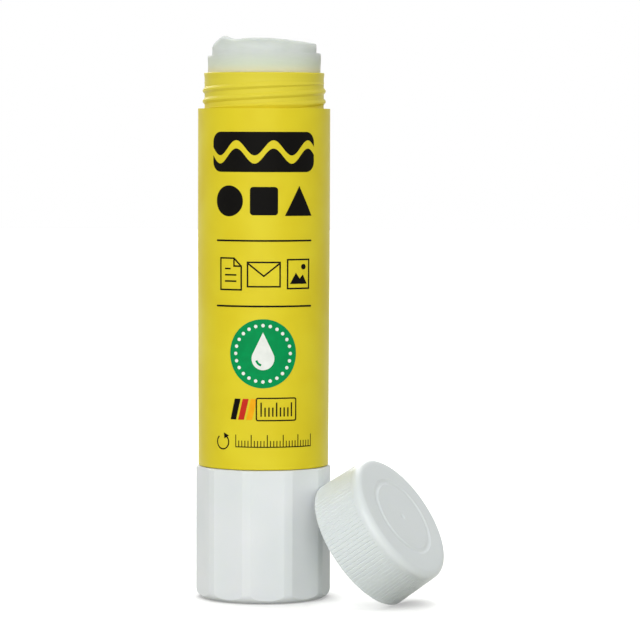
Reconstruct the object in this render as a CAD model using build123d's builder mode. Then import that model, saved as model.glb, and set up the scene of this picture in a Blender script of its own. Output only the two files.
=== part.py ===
"""Glue stick: a round barrel with a threaded neck, a ten-sided turning base that drives
a screw, a carrier with the adhesive on it, and a ribbed screw cap that leans on the base.

Millimetres. The stick's axis is Z and its base stands on z = 0. The front faces -Y.
"""
import os
from math import atan2, copysign, cos, degrees, hypot, radians, sin, sqrt

from build123d import *

# Barrel
barrel_radius = 10.2
barrel_length = 55.1
barrel_taper = 0.14
barrel_taper_height = 31.0
barrel_foot_rounding = 0.25
neck_step = 1.0
neck_height = 5.5
mouth_wall = 0.45
mouth_rounding = 0.15
neck_lip_height = 0.9
neck_lip_overhang = 0.1
spigot_step = 1.1
spigot_wall = 1.0
spigot_length = 13.2
spigot_lead_in = 0.4
ledge_rise = 1.6
guide_count = 4
guide_width = 1.0
guide_depth = 0.45
guide_end_drop = 7.8

# Neck thread, two starts that grow out of the shoulder and fade out below the mouth
thread_starts = 2
neck_lead = 3.24
neck_ridge_height = 0.3
neck_ridge_foot = 1.0
neck_ridge_crest = 0.25
neck_thread_turns = 1.56
neck_thread_fade = 0.6
neck_thread_angle = -178

# Turning base
base_height = 20.5
base_overhang = 0.2
base_foot_rounding = 1.45
base_rim_rounding = 0.25
base_floor = 1.4
facet_count = 10
facet_depth = 0.32
front_facet_angle = 3.8
boss_radius = 4.6
boss_height = 5.4
web_count = 5
web_thickness = 0.9
web_height = 3.6

# Snap ring that holds the base on the barrel
snap_height = 11.5
snap_width = 1.5
snap_depth = 0.3

# Lead screw, one left-hand start
screw_core_radius = 1.9
screw_ridge_height = 0.8
screw_ridge_foot = 1.7
screw_ridge_crest = 0.8
screw_lead = 4.0
screw_engagement = 8.0
screw_tip_chamfer = 0.5
screw_shank_radius = 3.1
screw_foot_width = 4.8
screw_foot_sides = 6
screw_flange_thickness = 1.2

# Carrier
cup_depth = 8.0
cup_wall = 0.9
cup_floor = 1.2
cup_skirt = 5.0
nut_radius = 4.0
nut_length = 10.0
nut_rise = 2.0

# Adhesive
glue_length = 34.0
glue_standout = 5.3
glue_recess = 1.1
glue_step_drop = 2.6
glue_step_width = 0.6
glue_edge_rounding = 0.4
glue_tilt_angle = 3.4

# Cap
cap_wall = 1.05
cap_top = 1.0
cap_head_room = 1.97
cap_draft = 0.25
cap_edge_rounding = 1.2
cap_rim_chamfer = 0.25
rib_count = 100
rib_groove_depth = 0.11
rib_end_drop = 1.5
ring_mark_radius = 6.1
ring_mark_round = 0.9
ring_mark_depth = 0.14
gate_mark_round = 1.1
gate_mark_depth = 0.15

# Where the cap lies: its bearing from the stick, where its axis points, how steeply, how it is turned
cap_bearing = -23.7
cap_heading = -27.4
cap_lean = 33.6
cap_gap = 0.05
cap_thread_angle = 37

# Clearances
running_gap = 0.08
turning_gap = 0.1
thread_gap = 0.15
snap_gap = 0.1
cast_gap = 0.02
seat_gap = 0.06
thread_sink = 0.15
overrun = 1.0

# Sizes that follow from the ones above
neck_radius = barrel_radius - neck_step
bore_radius = neck_radius - mouth_wall
spigot_radius = barrel_radius - spigot_step
spigot_bore = spigot_radius - spigot_wall
barrel_foot_z = base_height + seat_gap
shoulder_z = barrel_foot_z + barrel_length
mouth_z = shoulder_z + neck_height
ledge_z = barrel_foot_z + ledge_rise
spigot_foot_z = barrel_foot_z - spigot_length
guide_end_z = mouth_z - guide_end_drop

glue_top_z = mouth_z + glue_standout
travel_down = glue_standout + glue_recess
cup_floor_z = glue_top_z - glue_length
cup_rim_z = cup_floor_z + cup_depth
travel_up = mouth_z - cup_rim_z
nut_foot_z = cup_floor_z - nut_length
nut_head_z = cup_floor_z + nut_rise
carrier_radius = bore_radius - running_gap
cup_bore = carrier_radius - cup_wall

screw_crest_radius = screw_core_radius + screw_ridge_height
boss_top_z = base_floor + boss_height
screw_stop_z = nut_foot_z - travel_down - seat_gap
screw_tip_z = nut_foot_z + travel_up + screw_engagement

base_radius = barrel_radius + base_overhang
base_bore = spigot_radius + turning_gap
cap_bore = neck_radius + neck_ridge_height + thread_gap
cap_radius = cap_bore + cap_wall
cap_inside_depth = neck_height + cap_head_room
cap_height = cap_inside_depth + cap_top


def outline(*corners):
    """Closed line through radius and height points; a third value rounds that corner."""
    points = [corner[:2] for corner in corners]
    roundings = [corner[2] if len(corner) > 2 else 0 for corner in corners]
    FilletPolyline(*points, radius=roundings, close=True)


def thread_ridge(root_radius, height, foot_width, crest_width, lead, start_z, turns, lefthand=False, fade=0):
    """One helical ridge whose flanks run on a little into the wall; inward when height is negative.

    With a fade, its crest drops to the wall over that height before both ends.
    """
    sink = copysign(thread_sink, height)
    sunk_width = foot_width + (foot_width - crest_width) * sink / height
    low_z = start_z + foot_width / 2
    high_z = start_z + lead * turns - foot_width / 2
    run_out = fade * sink / height
    with BuildPart() as ridge:
        with BuildLine() as helix:
            Helix(lead, lead * turns, root_radius, center=(0, 0, start_z), lefthand=lefthand)
        with BuildSketch(Plane.XZ):
            with BuildLine():
                outline(
                    (root_radius - sink, start_z - sunk_width / 2),
                    (root_radius + height, start_z - crest_width / 2),
                    (root_radius + height, start_z + crest_width / 2),
                    (root_radius - sink, start_z + sunk_width / 2),
                )
            make_face()
        sweep(path=helix.line, is_frenet=True)
        if fade:
            with BuildSketch(Plane.XZ):
                with BuildLine():
                    outline(
                        (root_radius - 2 * sink, low_z - 2 * run_out),
                        (root_radius + 2 * height, low_z + 2 * fade),
                        (root_radius + 2 * height, high_z - 2 * fade),
                        (root_radius - 2 * sink, high_z + 2 * run_out),
                    )
                make_face()
            revolve(axis=Axis.Z, mode=Mode.INTERSECT)
    return ridge.part


# Barrel: the tube with its stepped neck above and the spigot for the base below
neck_ridge = thread_ridge(
    neck_radius, neck_ridge_height, neck_ridge_foot, neck_ridge_crest,
    neck_lead, shoulder_z - neck_ridge_foot / 2, neck_thread_turns, fade=neck_thread_fade,
)
with BuildPart() as barrel:
    with BuildSketch(Plane.XZ):
        with BuildLine():
            outline(
                (spigot_bore, spigot_foot_z),
                (spigot_radius - spigot_lead_in, spigot_foot_z),
                (spigot_radius, spigot_foot_z + spigot_lead_in),
                (spigot_radius, barrel_foot_z),
                (barrel_radius - barrel_taper, barrel_foot_z, barrel_foot_rounding),
                (barrel_radius, barrel_foot_z + barrel_taper_height),
                (barrel_radius, shoulder_z),
                (neck_radius, shoulder_z),
                (neck_radius, mouth_z - neck_lip_height),
                (neck_radius + neck_lip_overhang, mouth_z, mouth_rounding),
                (bore_radius, mouth_z, mouth_rounding),
                (bore_radius, ledge_z),
                (spigot_bore, ledge_z - (bore_radius - spigot_bore)),
            )
        make_face()
    revolve(axis=Axis.Z)
    # Groove round the spigot for the base's snap ring
    with BuildSketch(Plane.XZ):
        with BuildLine():
            outline(
                (spigot_radius - snap_depth, snap_height - snap_width / 2),
                (spigot_radius + overrun, snap_height - snap_width / 2 - snap_depth - overrun),
                (spigot_radius + overrun, snap_height + snap_width / 2 + snap_depth + overrun),
                (spigot_radius - snap_depth, snap_height + snap_width / 2),
            )
        make_face()
    revolve(axis=Axis.Z, mode=Mode.SUBTRACT)
    # Guide ribs in the bore that keep the carrier from turning
    with BuildSketch(Plane.XY.offset(ledge_z)):
        with PolarLocations(bore_radius, guide_count):
            Rectangle(2 * guide_depth, guide_width)
        Circle(bore_radius + mouth_wall / 2, mode=Mode.INTERSECT)
    extrude(amount=guide_end_z - ledge_z)
    with PolarLocations(0, thread_starts, start_angle=neck_thread_angle):
        add(neck_ridge)
barrel.part.label = "barrel"

# Turning base: a cup with ten flats, a socket for the screw and a snap ring in its bore
with BuildPart() as twist_base:
    with BuildSketch(Plane.XZ):
        with BuildLine():
            outline(
                (0, 0),
                (base_radius, 0, base_foot_rounding),
                (base_radius, base_height, base_rim_rounding),
                (base_bore, base_height),
                (base_bore, base_floor),
                (0, base_floor),
            )
        make_face()
    revolve(axis=Axis.Z)
    with BuildSketch():
        RegularPolygon(
            base_radius - facet_depth, facet_count, major_radius=False, rotation=front_facet_angle
        )
    extrude(amount=base_height, mode=Mode.INTERSECT)
    # Snap ring
    with BuildSketch(Plane.XZ):
        ring_tip = base_bore - turning_gap - snap_depth + snap_gap
        ring_slope = base_bore + turning_gap - ring_tip
        with BuildLine():
            outline(
                (ring_tip, snap_height - snap_width / 2 + snap_gap),
                (base_bore + turning_gap, snap_height - snap_width / 2 + snap_gap - ring_slope),
                (base_bore + turning_gap, snap_height + snap_width / 2 - snap_gap + ring_slope),
                (ring_tip, snap_height + snap_width / 2 - snap_gap),
            )
        make_face()
    revolve(axis=Axis.Z)
    # Socket boss, and webs that tie it to the wall
    with BuildSketch(Plane.XY.offset(base_floor)):
        Circle(boss_radius)
    extrude(amount=boss_height)
    with BuildSketch(Plane.XY.offset(base_floor)):
        with PolarLocations((boss_radius + base_bore) / 2, web_count):
            Rectangle(base_bore - boss_radius + web_thickness, web_thickness)
    extrude(amount=web_height)
    with BuildSketch(Plane.XY.offset(base_floor)):
        RegularPolygon(screw_foot_width / 2 + cast_gap, screw_foot_sides, major_radius=False)
    extrude(amount=boss_height, mode=Mode.SUBTRACT)
twist_base.part.label = "twist_base"

# Lead screw: a six-sided foot in the socket, a flange, a plain shank and the thread
screw_ridge_start_z = screw_stop_z - screw_lead / 2
screw_ridge_end_z = screw_tip_z - screw_tip_chamfer - screw_ridge_foot / 2
screw_ridge_turns = (screw_ridge_end_z - screw_ridge_start_z) / screw_lead
screw_ridge = thread_ridge(
    screw_core_radius, screw_ridge_height, screw_ridge_foot, screw_ridge_crest,
    screw_lead, screw_ridge_start_z, screw_ridge_turns, lefthand=True,
)
with BuildPart() as lead_screw:
    with BuildSketch(Plane.XY.offset(base_floor + seat_gap)):
        RegularPolygon(screw_foot_width / 2, screw_foot_sides, major_radius=False)
    extrude(amount=boss_height - seat_gap)
    with BuildSketch(Plane.XZ):
        with BuildLine():
            outline(
                (0, boss_top_z),
                (boss_radius, boss_top_z),
                (boss_radius, boss_top_z + screw_flange_thickness),
                (screw_shank_radius, boss_top_z + screw_flange_thickness),
                (screw_shank_radius, screw_stop_z),
                (screw_core_radius, screw_stop_z),
                (screw_core_radius, screw_tip_z - screw_tip_chamfer),
                (screw_core_radius - screw_tip_chamfer, screw_tip_z),
                (0, screw_tip_z),
            )
        make_face()
    revolve(axis=Axis.Z)
    add(screw_ridge)
lead_screw.part.label = "lead_screw"

# Carrier: the cup under the adhesive, with the nut on the screw and slots for the guide ribs
nut_core_radius = screw_core_radius + thread_gap
turns_below_nut = int((nut_foot_z - screw_ridge_start_z) / screw_lead) - 1
nut_groove_start_z = screw_ridge_start_z + turns_below_nut * screw_lead
nut_groove_turns = (nut_head_z - nut_groove_start_z) / screw_lead + 1
nut_groove = thread_ridge(
    nut_core_radius, screw_ridge_height,
    screw_ridge_foot + 2 * thread_gap, screw_ridge_crest + 2 * thread_gap,
    screw_lead, nut_groove_start_z, nut_groove_turns, lefthand=True,
)
with BuildPart() as nut_tap:
    with BuildSketch(Plane.XY.offset(nut_groove_start_z - screw_lead)):
        Circle(nut_core_radius)
    extrude(amount=(nut_groove_turns + 2) * screw_lead)
    add(nut_groove)
with BuildPart() as carrier:
    with BuildSketch(Plane.XZ):
        with BuildLine():
            outline(
                (0, nut_foot_z),
                (nut_radius, nut_foot_z),
                (nut_radius, cup_floor_z - cup_floor),
                (cup_bore, cup_floor_z - cup_floor),
                (cup_bore, cup_floor_z - cup_floor - cup_skirt),
                (carrier_radius, cup_floor_z - cup_floor - cup_skirt),
                (carrier_radius, cup_rim_z),
                (cup_bore, cup_rim_z),
                (cup_bore, cup_floor_z),
                (nut_radius, cup_floor_z),
                (nut_radius, nut_head_z),
                (0, nut_head_z),
            )
        make_face()
    revolve(axis=Axis.Z)
    add(nut_tap.part, mode=Mode.SUBTRACT)
    with BuildSketch(Plane.XY.offset(cup_floor_z - cup_floor - cup_skirt)):
        with PolarLocations(bore_radius, guide_count):
            Rectangle(2 * (guide_depth + turning_gap), guide_width + 2 * turning_gap)
    extrude(amount=cup_skirt + cup_floor + cup_depth, mode=Mode.SUBTRACT)
carrier.part.label = "carrier"

# Adhesive: cast in the cup, hollow round the screw, slotted by the guide ribs, worn on top
glue_bore_radius = screw_crest_radius + thread_gap
glue_bore_end_z = screw_tip_z + travel_down + seat_gap
glue_step_z = glue_top_z - glue_step_drop
slot_end_z = guide_end_z + travel_down + seat_gap
with BuildPart() as glue:
    with BuildSketch(Plane.XZ):
        with BuildLine():
            outline(
                (nut_radius + cast_gap, cup_floor_z + cast_gap),
                (cup_bore - cast_gap, cup_floor_z + cast_gap),
                (cup_bore - cast_gap, cup_rim_z + cast_gap),
                (carrier_radius, cup_rim_z + cast_gap),
                (carrier_radius, glue_step_z, glue_edge_rounding / 2),
                (carrier_radius - glue_step_width, glue_step_z),
                (carrier_radius - glue_step_width, glue_top_z + overrun),
                (0, glue_top_z + overrun),
                (0, glue_bore_end_z),
                (glue_bore_radius, glue_bore_end_z),
                (glue_bore_radius, nut_head_z + cast_gap),
                (nut_radius + cast_gap, nut_head_z + cast_gap),
            )
        make_face()
    revolve(axis=Axis.Z)
    # The top slopes down to the right, as the stick was wiped last
    tilt = radians(glue_tilt_angle)
    split(bisect_by=Plane((0, 0, glue_top_z), z_dir=(sin(tilt), 0, cos(tilt))), keep=Keep.BOTTOM)
    fillet(glue.faces().sort_by(Axis.Z)[-1].edges(), glue_edge_rounding)
    with BuildSketch(Plane.XY.offset(cup_rim_z)):
        with PolarLocations(bore_radius, guide_count):
            Rectangle(2 * (guide_depth + turning_gap), guide_width + 2 * turning_gap)
    extrude(amount=slot_end_z - cup_rim_z, mode=Mode.SUBTRACT)
glue.part.label = "glue"

# Cap: its open rim touches the floor and its upper edge leans on the base
skew = radians(cap_heading - cap_bearing)
rim_reach = cap_radius * hypot(sin(radians(cap_lean)) * cos(skew), sin(skew))
cap_distance = base_radius + cap_gap + rim_reach
cap_axis = Vector(1, 0, 0).rotate(Axis.Y, -cap_lean).rotate(Axis.Z, cap_heading)
cap_level = Vector(0, 1, 0).rotate(Axis.Z, cap_heading)
cap_centre = Vector(cap_distance, 0, cap_radius * cos(radians(cap_lean))).rotate(Axis.Z, cap_bearing)
cap_plane = Plane(cap_centre, x_dir=cap_level, z_dir=cap_axis)
cap_section = Plane(cap_centre, x_dir=cap_level, z_dir=cap_level.cross(cap_axis))

cap_ridge = thread_ridge(
    cap_bore, -neck_ridge_height, neck_ridge_foot, neck_ridge_crest,
    neck_lead, cap_rim_chamfer + neck_ridge_foot / 2, neck_thread_turns, fade=neck_thread_fade,
)
draft_angle = degrees(atan2(cap_draft, cap_height))
with BuildPart() as rib_groove:
    with BuildSketch(Plane((cap_radius, 0, 0)).rotated((0, -draft_angle, 0))):
        Rectangle(rib_groove_depth * sqrt(2), rib_groove_depth * sqrt(2), rotation=45)
    extrude(amount=cap_height - rib_end_drop)
with BuildPart() as cap:
    with BuildSketch(cap_section):
        with BuildLine():
            outline(
                (cap_bore + cap_rim_chamfer, 0),
                (cap_radius, 0),
                (cap_radius - cap_draft, cap_height, cap_edge_rounding),
                (0, cap_height),
                (0, cap_inside_depth),
                (cap_bore, cap_inside_depth),
                (cap_bore, cap_rim_chamfer),
            )
        make_face()
    revolve(axis=Axis(cap_centre, cap_axis))
    # Ring groove and gate dimple in the flat top
    with BuildSketch(cap_section):
        with Locations((ring_mark_radius, cap_height + ring_mark_round - ring_mark_depth)):
            Circle(ring_mark_round)
    revolve(axis=Axis(cap_centre, cap_axis), mode=Mode.SUBTRACT)
    with Locations(cap_plane.offset(cap_height + gate_mark_round - gate_mark_depth)):
        Sphere(gate_mark_round, mode=Mode.SUBTRACT)
    # Grip ribs are what is left between the grooves; the thread matches the neck's
    with Locations(cap_plane):
        with PolarLocations(0, rib_count):
            add(rib_groove, mode=Mode.SUBTRACT)
        with PolarLocations(0, thread_starts, start_angle=cap_thread_angle):
            add(cap_ridge)
cap.part.label = "cap"

os.makedirs("parts", exist_ok=True)
export_step(barrel.part, "parts/barrel.step")
export_step(twist_base.part, "parts/twist_base.step")
export_step(lead_screw.part, "parts/lead_screw.step")
export_step(carrier.part, "parts/carrier.step")
export_step(glue.part, "parts/glue.step")
export_step(cap.part, "parts/cap.step")
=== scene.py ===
"""Studio picture of a glue stick with its cap off: materials, the worn adhesive and the print.

Metres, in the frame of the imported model. Sizes below are in millimetres times MM.
The stick's axis is Z, its base stands on z = 0 and its front faces -Y.
"""
from math import acos, ceil, cos, exp, hypot, pi, radians, sin

import bmesh
import bpy
from mathutils import Matrix, Vector, noise


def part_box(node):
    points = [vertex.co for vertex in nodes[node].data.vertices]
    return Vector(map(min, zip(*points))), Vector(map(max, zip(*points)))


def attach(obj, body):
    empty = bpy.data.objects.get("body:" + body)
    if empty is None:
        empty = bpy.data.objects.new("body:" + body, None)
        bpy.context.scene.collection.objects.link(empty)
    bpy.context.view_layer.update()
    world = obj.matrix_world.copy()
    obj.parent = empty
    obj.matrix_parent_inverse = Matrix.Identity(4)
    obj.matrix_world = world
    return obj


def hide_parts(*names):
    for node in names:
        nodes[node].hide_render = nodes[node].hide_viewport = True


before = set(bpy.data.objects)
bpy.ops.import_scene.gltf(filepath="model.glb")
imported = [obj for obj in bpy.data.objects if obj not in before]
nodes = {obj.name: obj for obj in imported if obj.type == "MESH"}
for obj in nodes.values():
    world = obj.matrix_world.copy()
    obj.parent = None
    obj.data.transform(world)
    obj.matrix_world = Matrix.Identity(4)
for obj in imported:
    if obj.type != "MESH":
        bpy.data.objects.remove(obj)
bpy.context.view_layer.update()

MM = 0.001

# Camera: where it stands, how it is turned, and its focal length in pixels of the picture
PICTURE_SIDE_PX = 640
FOCAL_LENGTH_PX = 3487.96
SENSOR_WIDTH = 36.0
CAMERA_PLACE = Vector((0, -539.37, 72.287)) * MM
CAMERA_PITCH = radians(3.1057)
CAMERA_YAW = radians(0.9262)
CAMERA_ROLL = radians(0.182)

# Light: an even sky, a broad lamp beside the camera, another high up behind,
# and a faint small one on the right for the glint in the cap's ring
SKY_LEVEL = 0.28
KEY_LEVEL = 2.4
KEY_SPREAD = radians(62)
KEY_ELEVATION = radians(20)
KEY_BEARING = radians(-8)
BACK_LEVEL = 2.4
BACK_SPREAD = radians(60)
BACK_ELEVATION = radians(42)
BACK_BEARING = radians(-165)
GLINT_LEVEL = 0.1
GLINT_SPREAD = radians(9)
GLINT_ELEVATION = radians(36)
GLINT_BEARING = radians(80)

# Floor: the colour that it throws back at the object, the paler one in the picture, its glow
# there, and how far its painted contact shadow reaches round what stands on it
FLOOR_TONE = (186, 185, 178)
FLOOR_TONE_DEEP = (184, 183, 176)
FLOOR_SEEN = (248, 248, 246)
FLOOR_SEEN_DEEP = (246, 246, 244)
FLOOR_SIDE = 4.0
FLOOR_GLOW = 0.43
PAINTED_SHADOW_REACH = 4 * MM

# Colours as they are written in a paint program
YELLOW = (226, 210, 45)
YELLOW_DEEP = (221, 202, 37)
# Painted glow: a paler yellow standing in for light through the neck's thin wall
PAINTED_NECK_GLOW = (222, 208, 64)
WHITE = (231, 235, 236)
WHITE_COOL = (227, 233, 233)
CAP_WHITE = (225, 231, 232)
CAP_COOL = (223, 230, 230)
WAX = (216, 221, 218)
WAX_CLOUD = (209, 215, 211)
WAX_GREEN = (214, 222, 203)
# Painted glow: warm yellow standing in for light through the barrel's neck onto the wax
WAX_PAINTED_GLOW = (239, 231, 188)
# Painted shade: a greyer colour for the wax's worn top
WAX_PAINTED_SHADE = (190, 196, 192)
BLACK = (15, 14, 13)
BLACK_WARM = (17, 16, 14)
GREEN = (9, 149, 82)
GREEN_DEEP = (12, 141, 78)
PAPER_WHITE = (238, 241, 236)
PAPER_DULL = (230, 234, 228)
RED = (203, 52, 38)
RED_DEEP = (196, 48, 36)
AMBER = (245, 175, 30)
AMBER_DEEP = (240, 168, 26)


# ---------------------------------------------------------------- node helpers

def linear(colour):
    """The colour in the renderer's own units, with full alpha."""
    def channel(value):
        share = value / 255
        return share / 12.92 if share <= 0.04045 else ((share + 0.055) / 1.055) ** 2.4
    return (*(channel(value) for value in colour), 1.0)


def new_material(name):
    """An empty node material with its output and a Principled shader."""
    material = bpy.data.materials.new(name)
    material.use_nodes = True
    tree = material.node_tree
    tree.nodes.clear()
    output = tree.nodes.new("ShaderNodeOutputMaterial")
    shader = tree.nodes.new("ShaderNodeBsdfPrincipled")
    tree.links.new(shader.outputs["BSDF"], output.inputs["Surface"])
    return material, tree, shader


def noise_value(tree, scale, detail=3.0, stretch=(1, 1, 1)):
    """Noise over the object's own coordinates; scale is in waves per metre."""
    place = tree.nodes.new("ShaderNodeTexCoord")
    mapping = tree.nodes.new("ShaderNodeMapping")
    mapping.inputs["Scale"].default_value = stretch
    texture = tree.nodes.new("ShaderNodeTexNoise")
    texture.inputs["Scale"].default_value = scale
    texture.inputs["Detail"].default_value = detail
    tree.links.new(place.outputs["Object"], mapping.inputs["Vector"])
    tree.links.new(mapping.outputs["Vector"], texture.inputs["Vector"])
    return texture.outputs["Fac"]


def mix_colours(tree, share, first, second, low=0.35, high=0.65):
    """first where the share is low, second where it is high."""
    ramp = tree.nodes.new("ShaderNodeValToRGB")
    ramp.color_ramp.elements[0].position = low
    ramp.color_ramp.elements[0].color = linear(first)
    ramp.color_ramp.elements[1].position = high
    ramp.color_ramp.elements[1].color = linear(second)
    tree.links.new(share, ramp.inputs["Fac"])
    return ramp.outputs["Color"]


def spread_value(tree, share, low, high):
    """The share laid out between two values."""
    spread = tree.nodes.new("ShaderNodeMapRange")
    spread.inputs["From Min"].default_value = 0.3
    spread.inputs["From Max"].default_value = 0.7
    spread.inputs["To Min"].default_value = low
    spread.inputs["To Max"].default_value = high
    tree.links.new(share, spread.inputs["Value"])
    return spread.outputs["Result"]


def fade_colours(tree, low, high, low_z, high_z, beside=None):
    """low below low_z and high above high_z, in the object's own heights or in another object's."""
    place = tree.nodes.new("ShaderNodeTexCoord")
    place.object = beside
    split = tree.nodes.new("ShaderNodeSeparateXYZ")
    share = tree.nodes.new("ShaderNodeMapRange")
    share.interpolation_type = "SMOOTHSTEP"
    share.inputs["From Min"].default_value = low_z
    share.inputs["From Max"].default_value = high_z
    mix = tree.nodes.new("ShaderNodeMix")
    mix.data_type = "RGBA"
    tree.links.new(place.outputs["Object"], split.inputs["Vector"])
    tree.links.new(split.outputs["Z"], share.inputs["Value"])
    tree.links.new(share.outputs["Result"], mix.inputs["Factor"])
    for socket, colour in (("A", low), ("B", high)):
        target = next(item for item in mix.inputs if item.name == socket and item.type == "RGBA")
        if isinstance(colour, tuple):
            target.default_value = linear(colour)
        else:
            tree.links.new(colour, target)
    return next(item for item in mix.outputs if item.type == "RGBA")


def add_bump(tree, shader, height, distance, strength=1.0):
    bump = tree.nodes.new("ShaderNodeBump")
    bump.inputs["Strength"].default_value = strength
    bump.inputs["Distance"].default_value = distance
    tree.links.new(height, bump.inputs["Height"])
    tree.links.new(bump.outputs["Normal"], shader.inputs["Normal"])


def plastic(
    name, first, second, *, roughness, gloss, subsurface, soak, grain, sheen_clouds, uneven=0.04
):
    """Moulded plastic: cloudy colour, uneven gloss and a fine skin from the mould.

    subsurface is how much of the light soaks in and soak how far it spreads; grain and
    sheen_clouds are waves per metre; uneven is how far the roughness strays.
    """
    material, tree, shader = new_material(name)
    clouds = noise_value(tree, sheen_clouds, detail=2.0)
    skin = noise_value(tree, grain, detail=4.0)
    tree.links.new(mix_colours(tree, clouds, first, second), shader.inputs["Base Color"])
    unevenness = spread_value(tree, clouds, roughness - uneven, roughness + uneven)
    tree.links.new(unevenness, shader.inputs["Roughness"])
    shader.inputs["Subsurface Weight"].default_value = subsurface
    shader.inputs["Subsurface Radius"].default_value = (1.0, 1.0, 0.8)
    shader.inputs["Subsurface Scale"].default_value = soak
    shader.inputs["IOR"].default_value = 1.49
    shader.inputs["Specular IOR Level"].default_value = gloss
    add_bump(tree, shader, skin, 0.012 * MM)
    return material


def ink(name, colour, second, roughness=0.42):
    """Printed ink: nearly even, with a slight mottle and its own soft sheen."""
    material, tree, shader = new_material(name)
    mottle = noise_value(tree, 900, detail=3.0)
    tree.links.new(mix_colours(tree, mottle, colour, second), shader.inputs["Base Color"])
    sheen = spread_value(tree, mottle, roughness - 0.05, roughness + 0.05)
    tree.links.new(sheen, shader.inputs["Roughness"])
    shader.inputs["Specular IOR Level"].default_value = 0.03
    add_bump(tree, shader, mottle, 0.004 * MM)
    return material


WAX_TOP_Z = 86.66 * MM
# Where the wax's colours fade into each other, measured from the barrel's mouth and from WAX_TOP_Z;
# these include the painted glow at the mouth and the painted shade at the top
GREEN_FADE = (0.9 * MM, 3.4 * MM)
PAINTED_GLOW_FADE = (-0.7 * MM, 1.5 * MM)
PAINTED_SHADE_FADE = (-1.7 * MM, -0.1 * MM)


def wax(name):
    """The adhesive: a milky, slightly greenish wax that light soaks into, with a painted yellow
    glow at the barrel's mouth and painted shade on its worn top.
    """
    material, tree, shader = new_material(name)
    clouds = noise_value(tree, 260, detail=3.0)
    drag = noise_value(tree, 420, detail=4.0, stretch=(1, 1, 3.5))
    body = mix_colours(tree, clouds, WAX, WAX_CLOUD)
    barrel = nodes["barrel"]
    mouth_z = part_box("barrel")[1].z
    green_z, painted_glow_z, painted_shade_z = (
        [level + shift for shift in fade]
        for level, fade in ((mouth_z, GREEN_FADE), (mouth_z, PAINTED_GLOW_FADE), (WAX_TOP_Z, PAINTED_SHADE_FADE))
    )
    tinged = fade_colours(tree, WAX_GREEN, body, *green_z, beside=barrel)
    # Painted glow: the wax turns warm yellow at the barrel's mouth, in place of light coming
    # through the yellow neck
    glow_painted = fade_colours(tree, WAX_PAINTED_GLOW, tinged, *painted_glow_z, beside=barrel)
    # Painted shade: the wax turns greyer over its top 1.7 mm
    shade_painted = fade_colours(tree, glow_painted, WAX_PAINTED_SHADE, *painted_shade_z)
    tree.links.new(shade_painted, shader.inputs["Base Color"])
    tree.links.new(spread_value(tree, clouds, 0.66, 0.8), shader.inputs["Roughness"])
    shader.inputs["Specular IOR Level"].default_value = 0.06
    shader.inputs["Subsurface Weight"].default_value = 1.0
    shader.inputs["Subsurface Radius"].default_value = (1.0, 1.0, 0.85)
    shader.inputs["Subsurface Scale"].default_value = 2.0 * MM
    shader.inputs["IOR"].default_value = 1.42
    add_bump(tree, shader, drag, 0.05 * MM)
    return material


PAINTED_NECK_GLOW_Z = (75.2 * MM, 76.6 * MM)
yellow_plastic = plastic(
    "yellow_plastic", YELLOW, YELLOW_DEEP,
    roughness=0.42, gloss=0.14, subsurface=0.12, soak=1.2 * MM, grain=2600, sheen_clouds=120,
)
barrel_tree = yellow_plastic.node_tree
barrel_shader = next(node for node in barrel_tree.nodes if node.type == "BSDF_PRINCIPLED")
solid_yellow = barrel_shader.inputs["Base Color"].links[0].from_socket
# Painted glow: the barrel fades to a paler yellow towards its neck, in place of light through the
# thin wall
painted_neck_glow = fade_colours(barrel_tree, solid_yellow, PAINTED_NECK_GLOW, *PAINTED_NECK_GLOW_Z)
barrel_tree.links.new(painted_neck_glow, barrel_shader.inputs["Base Color"])
white_plastic = plastic(
    "white_plastic", WHITE, WHITE_COOL,
    roughness=0.42, gloss=0.2, subsurface=0.3, soak=2.0 * MM, grain=2400, sheen_clouds=110,
)
cap_plastic = plastic(
    "cap_plastic", CAP_WHITE, CAP_COOL,
    roughness=0.3, gloss=0.35, subsurface=0.2, soak=1.5 * MM, grain=2400, sheen_clouds=110,
    uneven=0.01,
)
adhesive = wax("adhesive_wax")
black_ink = ink("black_ink", BLACK, BLACK_WARM)
green_ink = ink("green_ink", GREEN, GREEN_DEEP)
white_ink = ink("white_ink", PAPER_WHITE, PAPER_DULL)
red_ink = ink("red_ink", RED, RED_DEEP)
amber_ink = ink("amber_ink", AMBER, AMBER_DEEP)


def dress(node, material):
    mesh = nodes[node].data
    mesh.materials.clear()
    mesh.materials.append(material)


dress("barrel", yellow_plastic)
for white_node in ("twist_base", "lead_screw", "carrier"):
    dress(white_node, white_plastic)
dress("cap", cap_plastic)


# ---------------------------------------------------------------- adhesive

glue_low, glue_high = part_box("glue")
barrel_low, barrel_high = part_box("barrel")
carrier_top_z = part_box("carrier")[1].z
screw_top_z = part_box("lead_screw")[1].z

GLUE_RADIUS = (glue_high.x - glue_low.x) / 2
GLUE_FOOT_Z = glue_low.z
CUP_RIM_Z = carrier_top_z + 0.02 * MM
FOOT_RADIUS = GLUE_RADIUS - 0.92 * MM
NUT_RADIUS = 4.02 * MM
NUT_HEAD_Z = GLUE_FOOT_Z + 2.0 * MM
BORE_RADIUS = 2.85 * MM
BORE_END_Z = screw_top_z + 6.46 * MM
SLOT_FLOOR_RADIUS = GLUE_RADIUS - 0.47 * MM
SLOT_WIDTH = 1.2 * MM
SLOT_COUNT = 4
SLOT_END_Z = barrel_high.z - 1.34 * MM
LEDGE_Z = 83.97 * MM
LEDGE_TILT = 0.4 * MM
LEDGE_WAVER = 0.10 * MM
GLUE_ROOM = 0.07 * MM
SWELL_RIGHT = 0.14
SWELL_ROUND = 0.05
BLOB_HEIGHT = 0.05
BLOB_ANGLE = radians(258)
SKIN_HEIGHT = 0.018
UPPER_RADIUS = 8.03 * MM
CREST_Z = WAX_TOP_Z - 0.06 * MM
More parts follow.
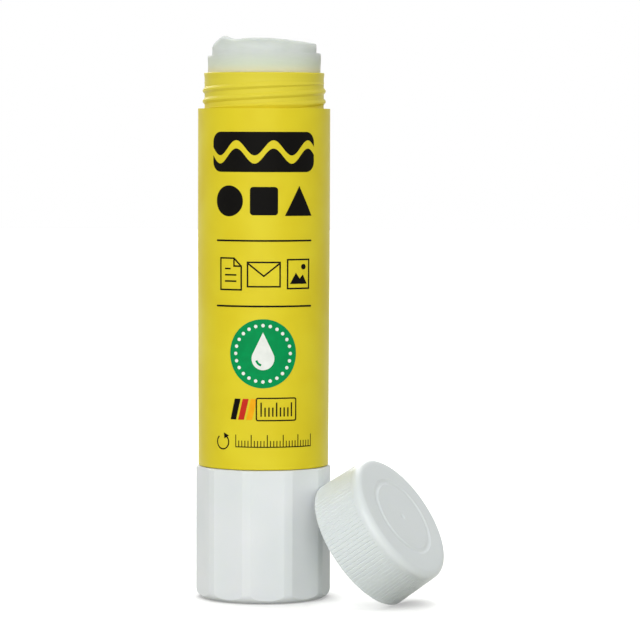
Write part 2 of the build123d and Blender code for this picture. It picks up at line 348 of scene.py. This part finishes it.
BACK_FALL = 0.0033 / MM
FALL_START_X = 1.5 * MM
FALL_BEND = 1.5 * MM
FALL_SLOPE = 0.145
LUMP_X = -6.0 * MM
LUMP_Y = -2.0 * MM
LUMP_HEIGHT = 0.25 * MM
LUMP_WIDTH = 0.8 * MM
LUMP_LENGTH = 2.6 * MM
HOLLOW_X = -4.3 * MM
HOLLOW_WIDTH = 1.3 * MM
HOLLOW_DEPTH = 0.26 * MM
SMEAR_HEIGHT = 0.035
EDGE_ROUNDING = 0.35 * MM
LEFT_EDGE_X = -6.3 * MM
LEFT_REACH = 1.5 * MM
LEFT_DROP = 1.1 * MM


def bell(distance, width):
    return exp(-(distance / width) ** 2)


def ease(value, start, end):
    """Rises smoothly from 0 at start to 1 at end."""
    share = min(max((value - start) / (end - start), 0), 1)
    return share * share * (3 - 2 * share)


def wander(x, y, z, wave, seed):
    """Smooth noise between about -1 and 1 with waves of that length."""
    return noise.noise(Vector((x / wave + seed, y / wave - seed, z / wave + 2 * seed)))


def glue_top(x, y):
    """Height of the worn top: level, then falling to the right; lump and worn edge at the left."""
    beyond = x - FALL_START_X
    fall = FALL_SLOPE * (hypot(beyond, FALL_BEND) + beyond) / 2
    height = CREST_Z - fall - BACK_FALL * y ** 2
    lump = bell(x - LUMP_X, LUMP_WIDTH) * bell(y - LUMP_Y, LUMP_LENGTH)
    hollow = bell(x - HOLLOW_X, HOLLOW_WIDTH)
    worn = LEFT_DROP * (max(0, LEFT_EDGE_X - x) / LEFT_REACH) ** 1.5
    smear = wander(x * 0.35, y, 0, 1.3 * MM, 5.2)
    ripple = wander(x, y, 0, 2.2 * MM, 11.7)
    grain = (SMEAR_HEIGHT * smear + SMEAR_HEIGHT * ripple) * MM
    return height + LUMP_HEIGHT * lump - HOLLOW_DEPTH * hollow - worn + grain


def in_front(angle):
    """1 in front, where the wiped wax covers the step, and 0 at the sides and behind."""
    return ease(cos(angle), 0.08, 0.5)


def in_slot(angle):
    step = 2 * pi / SLOT_COUNT
    nearest = round(angle / step) * step
    return abs(angle - nearest) * GLUE_RADIUS < SLOT_WIDTH / 2


def ledge_height(angle):
    """The ledge sits a little higher on the right, and wavers."""
    x, y = sin(angle), -cos(angle)
    return LEDGE_Z + LEDGE_TILT / 2 * x + LEDGE_WAVER * wander(x, y, 0, 0.5, 3.1)


def outer_radius(angle, z):
    """The lower, full-width part: swollen under the ledge, as far as the barrel's bore has room."""
    x, y = sin(angle), -cos(angle)
    below = (ledge_height(angle) - z) / MM
    out_of_mouth = ease(z, barrel_high.z - 1 * MM, barrel_high.z + 1 * MM)
    swell = SWELL_RIGHT * bell(below - 0.55, 0.9) * ease(x, 0.5, 1.0)
    swell += SWELL_ROUND * bell(below - 0.4, 0.6) * (1 - in_front(angle))
    blob = BLOB_HEIGHT * bell(below - 0.7, 0.7) * bell((angle - BLOB_ANGLE) * 8.7, 1.1)
    skin = SKIN_HEIGHT * wander(x * 8, y * 8, z / MM, 1.6, 7.7) * out_of_mouth
    return GLUE_RADIUS + min((swell + blob + skin) * MM, GLUE_ROOM)


def upper_radius(angle, z):
    """The narrower part above the ledge; in front it is as wide as the lower one."""
    x, y = sin(angle), -cos(angle)
    drag = wander(x * 8 + 1.5 * (z / MM), y * 8, z / MM * 2.0, 2.0, 1.9)
    cover = (GLUE_RADIUS - UPPER_RADIUS) * in_front(angle)
    lean = -0.06 * ease(-x, 0.6, 1.0) * ease(z, LEDGE_Z + 0.9 * MM, LEDGE_Z + 2.4 * MM)
    settle = ease(z, LEDGE_Z, LEDGE_Z + 0.6 * MM) if in_front(angle) > 0 else 1
    return UPPER_RADIUS + cover + (0.04 * drag * settle + lean) * MM


def build_glue():
    """One closed skin, woven as rings from the ceiling of the bore out, up and over the top."""
    count = 288
    angles = [2 * pi * (index + 0.5) / count for index in range(count)]
    half_slot = SLOT_WIDTH / 2 / GLUE_RADIUS
    for slot in range(SLOT_COUNT):
        centre = 2 * pi * slot / SLOT_COUNT
        for edge in (-half_slot, half_slot):
            for side in (-0.0015, 0.0015):
                angles.append((centre + edge + side) % (2 * pi))
    angles.sort()

    rings = []

    def ring(radius, height):
        """radius and height are lengths, or say the length at each angle."""
        points = []
        for angle in angles:
            r = radius(angle) if callable(radius) else radius
            z = height(angle, r) if callable(height) else height
            points.append((r * sin(angle), -r * cos(angle), z))
        rings.append(points)

    ring(BORE_RADIUS / 2, BORE_END_Z)
    ring(BORE_RADIUS, BORE_END_Z)
    ring(BORE_RADIUS, NUT_HEAD_Z)
    ring(NUT_RADIUS, NUT_HEAD_Z)
    ring(NUT_RADIUS, GLUE_FOOT_Z)
    ring(FOOT_RADIUS, GLUE_FOOT_Z)
    ring(FOOT_RADIUS, CUP_RIM_Z)

    def slotted(z):
        return lambda angle: SLOT_FLOOR_RADIUS if in_slot(angle) else outer_radius(angle, z)

    slot_rows = 18
    for row in range(slot_rows + 1):
        z = CUP_RIM_Z + (SLOT_END_Z - CUP_RIM_Z) * row / slot_rows
        ring(slotted(z), z)

    wall_rows = 26
    for row in range(wall_rows + 1):
        share = row / wall_rows

        def wall_height(angle, share=share):
            return SLOT_END_Z + (ledge_height(angle) - 0.12 * MM - SLOT_END_Z) * share

        ring(
            lambda angle: outer_radius(angle, wall_height(angle)),
            lambda angle, r: wall_height(angle),
        )

    # Over the ledge's soft edge and in to the narrower part
    for share, drop in ((0.06, 0.05), (0.2, 0.01), (0.4, 0.0), (0.7, 0.0)):
        def ledge_radius(angle, share=share):
            outside = outer_radius(angle, ledge_height(angle))
            return outside + (upper_radius(angle, ledge_height(angle)) - outside) * share

        ring(ledge_radius, lambda angle, r: ledge_height(angle) - drop * MM)

    def rim_height(angle):
        r = upper_radius(angle, CREST_Z)
        return glue_top(r * sin(angle), -r * cos(angle)) - EDGE_ROUNDING

    upper_rows = 16
    for row in range(upper_rows + 1):
        share = row / upper_rows

        def upper_height(angle, share=share):
            foot = ledge_height(angle) + 0.03 * MM
            return foot + (rim_height(angle) - foot) * share

        ring(
            lambda angle: upper_radius(angle, upper_height(angle)),
            lambda angle, r: upper_height(angle),
        )

    # The worn edge, then the top
    edge_rows = 8
    for row in range(1, edge_rows + 1):
        turn = pi / 2 * row / edge_rows
        inward, down = EDGE_ROUNDING * (1 - cos(turn)), EDGE_ROUNDING * (1 - sin(turn))
        ring(
            lambda angle: upper_radius(angle, CREST_Z) - inward,
            lambda angle, r: glue_top(r * sin(angle), -r * cos(angle)) - down,
        )
    top_rows = 44
    for row in range(1, top_rows):
        share = 1 - row / top_rows
        ring(
            lambda angle: (upper_radius(angle, CREST_Z) - EDGE_ROUNDING) * share,
            lambda angle, r: glue_top(r * sin(angle), -r * cos(angle)),
        )

    columns = len(angles)
    points = [point for points_of_ring in rings for point in points_of_ring]
    first_pole = len(points)
    points.append((0, 0, BORE_END_Z))
    points.append((0, 0, glue_top(0, 0)))
    faces = []
    for row in range(len(rings) - 1):
        for column in range(columns):
            following = (column + 1) % columns
            low, high = row * columns, (row + 1) * columns
            faces.append((low + column, low + following, high + following, high + column))
    last = (len(rings) - 1) * columns
    for column in range(columns):
        following = (column + 1) % columns
        faces.append((first_pole, following, column))
        faces.append((first_pole + 1, last + column, last + following))
    mesh = bpy.data.meshes.new("glue_stick")
    mesh.from_pydata(points, [], faces)
    mesh.update()
    return mesh


def finish_piece(mesh, name, material, body, sharp_angle=radians(40)):
    """Faces outwards, soft shading with crisp edges, one material, riding on a body."""
    build = bmesh.new()
    build.from_mesh(mesh)
    bmesh.ops.recalc_face_normals(build, faces=build.faces)
    build.to_mesh(mesh)
    build.free()
    mesh.shade_smooth()
    mesh.set_sharp_from_angle(angle=sharp_angle)
    mesh.materials.append(material)
    piece = bpy.data.objects.new(name, mesh)
    bpy.context.scene.collection.objects.link(piece)
    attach(piece, body)
    return piece


glue_piece = finish_piece(build_glue(), "glue_worn", adhesive, "lift", radians(55))
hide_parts("glue")


# ---------------------------------------------------------------- print on the barrel

BARREL_RADIUS = (barrel_high.x - barrel_low.x) / 2
BARREL_TAPER = 0.14 * MM
TAPER_HEIGHT = 31 * MM
TAPER_TOP_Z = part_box("twist_base")[1].z + 0.06 * MM + TAPER_HEIGHT
INK_RISE = 0.014 * MM
INK_ROOT = 0.035 * MM
INK_STRIP = 0.4 * MM
RULE_WIDTH = 0.27 * MM
LINE_WIDTH = 0.24 * MM


def barrel_wall(z):
    """The barrel's radius at that height; it narrows a little towards the base."""
    return BARREL_RADIUS - BARREL_TAPER * max(0, (TAPER_TOP_Z - z) / TAPER_HEIGHT)


def bend_round_barrel(mesh, rise):
    """Lays a flat plate on the barrel: x becomes the way round from the front, y the height."""
    build = bmesh.new()
    build.from_mesh(mesh)
    across = [vertex.co.x for vertex in build.verts]
    strips = ceil((max(across) - min(across)) / INK_STRIP)
    for strip in range(1, strips):
        cut = min(across) + (max(across) - min(across)) * strip / strips
        bmesh.ops.bisect_plane(
            build, geom=build.verts[:] + build.edges[:] + build.faces[:],
            plane_co=(cut, 0, 0), plane_no=(1, 0, 0), dist=1e-9,
        )
    bmesh.ops.remove_doubles(build, verts=build.verts, dist=1e-8)
    for vertex in build.verts:
        angle = vertex.co.x / BARREL_RADIUS
        radius = barrel_wall(vertex.co.y) + (rise if vertex.co.z > 0 else -INK_ROOT)
        vertex.co = Vector((radius * sin(angle), -radius * cos(angle), vertex.co.y))
    build.to_mesh(mesh)
    build.free()


def print_shape(name, outlines, material, rise=INK_RISE):
    """A printed shape from closed outlines in millimetres; an outline inside another is a hole."""
    curve = bpy.data.curves.new(name, "CURVE")
    curve.dimensions = "2D"
    curve.fill_mode = "BOTH"
    curve.extrude = MM
    for outline in outlines:
        spline = curve.splines.new("POLY")
        spline.points.add(len(outline) - 1)
        for point, (x, y) in zip(spline.points, outline):
            point.co = (x * MM, y * MM, 0, 1)
        spline.use_cyclic_u = True
    holder = bpy.data.objects.new(name + "_outline", curve)
    mesh = bpy.data.meshes.new_from_object(holder)
    bpy.data.objects.remove(holder)
    bpy.data.curves.remove(curve)
    bend_round_barrel(mesh, rise)
    piece = finish_piece(mesh, name, material, "barrel")
    return piece


def circle(x, y, radius, count=48):
    turns = [2 * pi * k / count for k in range(count)]
    return [(x + radius * cos(turn), y + radius * sin(turn)) for turn in turns]


def box(x0, y0, x1, y1):
    return [(x0, y0), (x1, y0), (x1, y1), (x0, y1)]


def rounded_box(x0, y0, x1, y1, radius, count=6):
    points = []
    corners = ((x1, y1, 0), (x0, y1, 90), (x0, y0, 180), (x1, y0, 270))
    for x, y, start in corners:
        centre_x = x - radius if x == x1 else x + radius
        centre_y = y - radius if y == y1 else y + radius
        for k in range(count + 1):
            turn = radians(start + 90 * k / count)
            points.append((centre_x + radius * cos(turn), centre_y + radius * sin(turn)))
    return points


def stroke(points, width, closed=False):
    """Outline of a line of that width through the points; two outlines where it is closed."""
    def shifted(side):
        line = []
        count = len(points)
        for k in range(count):
            before = points[k - 1] if k > 0 or closed else None
            after = points[(k + 1) % count] if k < count - 1 or closed else None
            here = Vector(points[k])
            ways = []
            if before is not None:
                ways.append((here - Vector(before)).normalized())
            if after is not None:
                ways.append((Vector(after) - here).normalized())
            way = sum(ways, Vector((0, 0))).normalized()
            across = Vector((-way.y, way.x))
            lean = max(across.dot(Vector((-ways[0].y, ways[0].x))), 0.35)
            moved = here + across * (side * width / 2 / lean)
            line.append((moved.x, moved.y))
        return line
    left, right = shifted(1), shifted(-1)
    if closed:
        return [left, right]
    return [left + right[::-1]]


# A black band with a wave through it, and three cut-paper shapes below
BAND = (-8.75, 66.0, 8.55, 72.1)
WAVE_HEIGHT = 1.15
WAVE_LENGTH = 5.8
WAVE_GAP = 1.25
BAND_ROUNDING = 1.6


def wave(x, side):
    """Height of the wave's upper (side 1) or lower (side -1) edge."""
    middle = (BAND[1] + BAND[3]) / 2
    return middle + WAVE_HEIGHT * sin(2 * pi * x / WAVE_LENGTH) + side * WAVE_GAP / 2


def wave_band(side, y_edge, name):
    """The half of the band between the wave and the straight edge at y_edge."""
    radius = BAND_ROUNDING
    steps = 96
    xs = [BAND[0] + (BAND[2] - BAND[0]) * k / steps for k in range(steps + 1)]
    edge = [(x, wave(x, side)) for x in xs]
    corners = []
    for x, start in ((BAND[2], 0), (BAND[0], 90)):
        for k in range(9):
            turn = radians(start + 90 * k / 8)
            centre_x = x - radius if x == BAND[2] else x + radius
            centre_y = y_edge - side * radius
            corners.append((centre_x + radius * cos(turn), centre_y + side * radius * sin(turn)))
    print_shape(name, [edge + corners], black_ink)


wave_band(1, BAND[3], "print_wave_upper")
wave_band(-1, BAND[1], "print_wave_lower")
print_shape("print_disc", [circle(-5.6, 61.6, 2.35)], black_ink)
print_shape("print_square", [rounded_box(-2.15, 59.45, 2.15, 63.75, 0.5)], black_ink)
triangle = [(3.25, 59.35), (8.05, 59.35), (5.65, 63.9)]
print_shape("print_triangle", [triangle], black_ink)

# The two rules, and three drawings between them: a folded sheet, an envelope and a picture
RULE_ENDS = (-7.95, 8.05)
RULE_HEIGHTS = {"print_rule_upper": 55.57, "print_rule_lower": 45.6}
for name, height in RULE_HEIGHTS.items():
    half = RULE_WIDTH / 2 / MM
    rule = rounded_box(RULE_ENDS[0], height - half, RULE_ENDS[1], height + half, half)
    print_shape(name, [rule], black_ink)

line = LINE_WIDTH / MM
sheet_edge = [(-7.1, 48.1), (-3.5, 48.1), (-3.5, 51.7), (-4.7, 52.9), (-7.1, 52.9)]
print_shape("print_sheet", stroke(sheet_edge, line, closed=True), black_ink)
print_shape("print_sheet_fold", stroke([(-4.7, 52.9), (-4.7, 51.7), (-3.5, 51.7)], line), black_ink)
for row, (start, end) in enumerate(((-6.3, -5.3), (-6.3, -4.3), (-6.3, -4.3))):
    y = 51.3 - 0.95 * row
    print_shape(f"print_sheet_line_{row + 1}", stroke([(start, y), (end, y)], line), black_ink)
print_shape("print_envelope", stroke(box(-2.5, 48.6, 2.5, 52.3), line, closed=True), black_ink)
print_shape("print_envelope_flap", stroke([(-2.4, 52.1), (0, 50.2), (2.4, 52.1)], line), black_ink)
print_shape("print_picture", stroke(box(3.7, 48.3, 7.5, 52.7), line, closed=True), black_ink)
hills = [(4.1, 49.0), (5.1, 50.7), (5.75, 49.8), (6.35, 50.4), (7.1, 49.0)]
print_shape("print_picture_hills", [hills], black_ink)
print_shape("print_picture_sun", [circle(6.45, 51.6, 0.42, 24)], black_ink)

# Green disc with a ring of dots and a drop
DISC = (-0.1, 38.4)
DISC_RADIUS = 5.27
DOT_COUNT = 24
DOT_RING_RADIUS = 4.3
DOT_RADIUS = 0.27
DROP_RADIUS = 1.75
DROP_TIP = 3.25
DROP_SINK = 0.75
GLEAM_RADIUS = 1.05
print_shape("print_green_disc", [circle(*DISC, DISC_RADIUS, 96)], green_ink)
for k, (x, y) in enumerate(circle(*DISC, DOT_RING_RADIUS, DOT_COUNT)):
    dot = circle(x, y, DOT_RADIUS, 20)
    print_shape(f"print_dot_{k + 1:02d}", [dot], white_ink, rise=2 * INK_RISE)
drop_side = acos(DROP_RADIUS / (DROP_TIP + DROP_SINK))
drop_y = DISC[1] - DROP_SINK
drop = []
for k in range(41):
    turn = pi / 2 + drop_side + (2 * pi - 2 * drop_side) * k / 40
    drop.append((DISC[0] + DROP_RADIUS * cos(turn), drop_y + DROP_RADIUS * sin(turn)))
drop.append((DISC[0], DISC[1] + DROP_TIP))
gleam_path = []
for k in range(9):
    turn = radians(195 + 60 * k / 8)
    gleam_path.append((DISC[0] + GLEAM_RADIUS * cos(turn), drop_y + GLEAM_RADIUS * sin(turn)))
print_shape("print_drop", [drop] + stroke(gleam_path, 0.34), white_ink, rise=2 * INK_RISE)

# Frame with ticks, colour patches beside it
print_shape("print_frame", [
    rounded_box(-1.2, 28.1, 5.28, 31.7, 0.35),
    rounded_box(-1.0, 28.3, 5.08, 31.5, 0.2),
], black_ink)
for k in range(9):
    x = -0.36 + 0.6 * k
    top = 30.95 if k % 4 == 0 else 30.2
    print_shape(f"print_frame_tick_{k + 1}", stroke([(x, 28.8), (x, top)], 0.22), black_ink)
PATCH_LEAN = 0.75
for x, material, name in (
    (-4.7, black_ink, "black"), (-3.4, red_ink, "red"), (-2.1, amber_ink, "amber")
):
    left, right = x - 0.6, x + 0.35
    patch = [(left, 28.3), (right, 28.3), (right + PATCH_LEAN, 31.5), (left + PATCH_LEAN, 31.5)]
    print_shape(f"print_patch_{name}", [patch], material)

# Turn arrow and a fine scale under them
ARROW = (-6.75, 24.8)
ARROW_RADIUS = 1.1
ARROW_START = 60
ARROW_SWEEP = 290
arrow_path = []
for k in range(25):
    turn = radians(ARROW_START - ARROW_SWEEP * k / 24)
    arrow_path.append((ARROW[0] + ARROW_RADIUS * cos(turn), ARROW[1] + ARROW_RADIUS * sin(turn)))
print_shape("print_arrow", stroke(arrow_path[::-1], 0.2), black_ink)
tip_x, tip_y = arrow_path[0]
tip = [(tip_x + dx, tip_y + dy) for dx, dy in ((-0.35, 0.5), (0.6, 0.05), (-0.25, -0.45))]
print_shape("print_arrow_tip", [tip], black_ink)
for k in range(26):
    x = -4.4 + 0.5 * k
    top = 26.0 if k % 5 == 0 else 25.1
    print_shape(f"print_scale_{k + 1:02d}", stroke([(x, 24.2), (x, top)], 0.14), black_ink)
print_shape("print_scale_line", stroke([(-4.47, 24.13), (8.17, 24.13)], 0.16), black_ink)


# ---------------------------------------------------------------- floor, light, camera

floor_mesh = bpy.data.meshes.new("floor")
half_floor = FLOOR_SIDE / 2
floor_corners = [(x, y, 0) for x, y in box(-half_floor, -half_floor, half_floor, half_floor)]
floor_mesh.from_pydata(floor_corners, [], [(0, 1, 2, 3)])
floor = bpy.data.objects.new("floor", floor_mesh)
bpy.context.scene.collection.objects.link(floor)


def seen_directly(tree):
    """1 for rays from the camera and for those that a glossy or clear surface sends on."""
    path = tree.nodes.new("ShaderNodeLightPath")
    either = None
    for name in ("Is Camera Ray", "Is Glossy Ray", "Is Transmission Ray"):
        if either is None:
            either = path.outputs[name]
            continue
        add = tree.nodes.new("ShaderNodeMath")
        add.operation = "MAXIMUM"
        tree.links.new(either, add.inputs[0])
        tree.links.new(path.outputs[name], add.inputs[1])
        either = add.outputs[0]
    return either


floor_material, floor_tree, floor_shader = new_material("floor_white")
floor_grain = noise_value(floor_tree, 30, detail=2.0)
floor_mix = floor_tree.nodes.new("ShaderNodeMix")
floor_mix.data_type = "RGBA"
floor_sockets = {item.name: item for item in floor_mix.inputs if item.type == "RGBA"}
floor_tree.links.new(seen_directly(floor_tree), floor_mix.inputs["Factor"])
floor_tone = mix_colours(floor_tree, floor_grain, FLOOR_TONE, FLOOR_TONE_DEEP)
floor_seen = mix_colours(floor_tree, floor_grain, FLOOR_SEEN, FLOOR_SEEN_DEEP)
floor_tree.links.new(floor_tone, floor_sockets["A"])
# Painted contact shadow: ambient occlusion darkens the floor's seen colour near what stands on it
painted_contact_shadow = floor_tree.nodes.new("ShaderNodeAmbientOcclusion")
painted_contact_shadow.inputs["Distance"].default_value = PAINTED_SHADOW_REACH
floor_tree.links.new(floor_seen, painted_contact_shadow.inputs["Color"])
floor_tree.links.new(painted_contact_shadow.outputs["Color"], floor_sockets["B"])
floor_colour = next(item for item in floor_mix.outputs if item.type == "RGBA")
floor_tree.links.new(floor_colour, floor_shader.inputs["Base Color"])
floor_shader.inputs["Roughness"].default_value = 0.9
floor_shader.inputs["Specular IOR Level"].default_value = 0.0
glow = floor_tree.nodes.new("ShaderNodeEmission")
glow_level = floor_tree.nodes.new("ShaderNodeMath")
glow_level.operation = "MULTIPLY"
glow_level.inputs[1].default_value = FLOOR_GLOW
floor_tree.links.new(seen_directly(floor_tree), glow_level.inputs[0])
floor_tree.links.new(glow_level.outputs[0], glow.inputs["Strength"])
both = floor_tree.nodes.new("ShaderNodeAddShader")
floor_output = next(node for node in floor_tree.nodes if node.type == "OUTPUT_MATERIAL")
floor_tree.links.new(floor_shader.outputs["BSDF"], both.inputs[0])
floor_tree.links.new(glow.outputs["Emission"], both.inputs[1])
floor_tree.links.new(both.outputs["Shader"], floor_output.inputs["Surface"])
floor_mesh.materials.append(floor_material)

world = bpy.data.worlds.new("studio")
bpy.context.scene.world = world
world.use_nodes = True
world_tree = world.node_tree
world_tree.nodes.clear()
world_output = world_tree.nodes.new("ShaderNodeOutputWorld")
backdrop = world_tree.nodes.new("ShaderNodeBackground")
sky = world_tree.nodes.new("ShaderNodeBackground")
sky.inputs["Strength"].default_value = SKY_LEVEL
choose = world_tree.nodes.new("ShaderNodeMixShader")
world_tree.links.new(seen_directly(world_tree), choose.inputs["Fac"])
world_tree.links.new(sky.outputs["Background"], choose.inputs[1])
world_tree.links.new(backdrop.outputs["Background"], choose.inputs[2])
world_tree.links.new(choose.outputs["Shader"], world_output.inputs["Surface"])
for background in (backdrop, sky):
    background.inputs["Color"].default_value = (1, 1, 1, 1)


def add_sun(name, level, spread, bearing, elevation):
    """A soft lamp from that side: bearing 0 is behind the camera, positive to the right."""
    lamp = bpy.data.lights.new(name, "SUN")
    lamp.energy = level
    lamp.angle = spread
    lamp_object = bpy.data.objects.new(name, lamp)
    across = cos(elevation)
    towards = Vector((sin(bearing) * across, -cos(bearing) * across, sin(elevation)))
    lamp_object.rotation_euler = towards.to_track_quat("Z", "Y").to_euler()
    bpy.context.scene.collection.objects.link(lamp_object)


add_sun("key", KEY_LEVEL, KEY_SPREAD, KEY_BEARING, KEY_ELEVATION)
add_sun("back", BACK_LEVEL, BACK_SPREAD, BACK_BEARING, BACK_ELEVATION)
add_sun("glint", GLINT_LEVEL, GLINT_SPREAD, GLINT_BEARING, GLINT_ELEVATION)

along = cos(CAMERA_PITCH)
forward = Vector((sin(CAMERA_YAW) * along, cos(CAMERA_YAW) * along, -sin(CAMERA_PITCH)))
level_right = Vector((cos(CAMERA_YAW), -sin(CAMERA_YAW), 0))
level_up = level_right.cross(forward)
right = cos(CAMERA_ROLL) * level_right + sin(CAMERA_ROLL) * level_up
up = cos(CAMERA_ROLL) * level_up - sin(CAMERA_ROLL) * level_right
camera_data = bpy.data.cameras.new("camera")
camera_data.sensor_width = SENSOR_WIDTH
camera_data.lens = FOCAL_LENGTH_PX / PICTURE_SIDE_PX * SENSOR_WIDTH
camera_data.clip_start = 0.01
camera = bpy.data.objects.new("camera", camera_data)
camera_turn = Matrix((right, up, -forward)).transposed()
camera.matrix_world = Matrix.Translation(CAMERA_PLACE) @ camera_turn.to_4x4()
bpy.context.scene.collection.objects.link(camera)
bpy.context.scene.camera = camera
bpy.context.scene.view_settings.view_transform = "Standard"
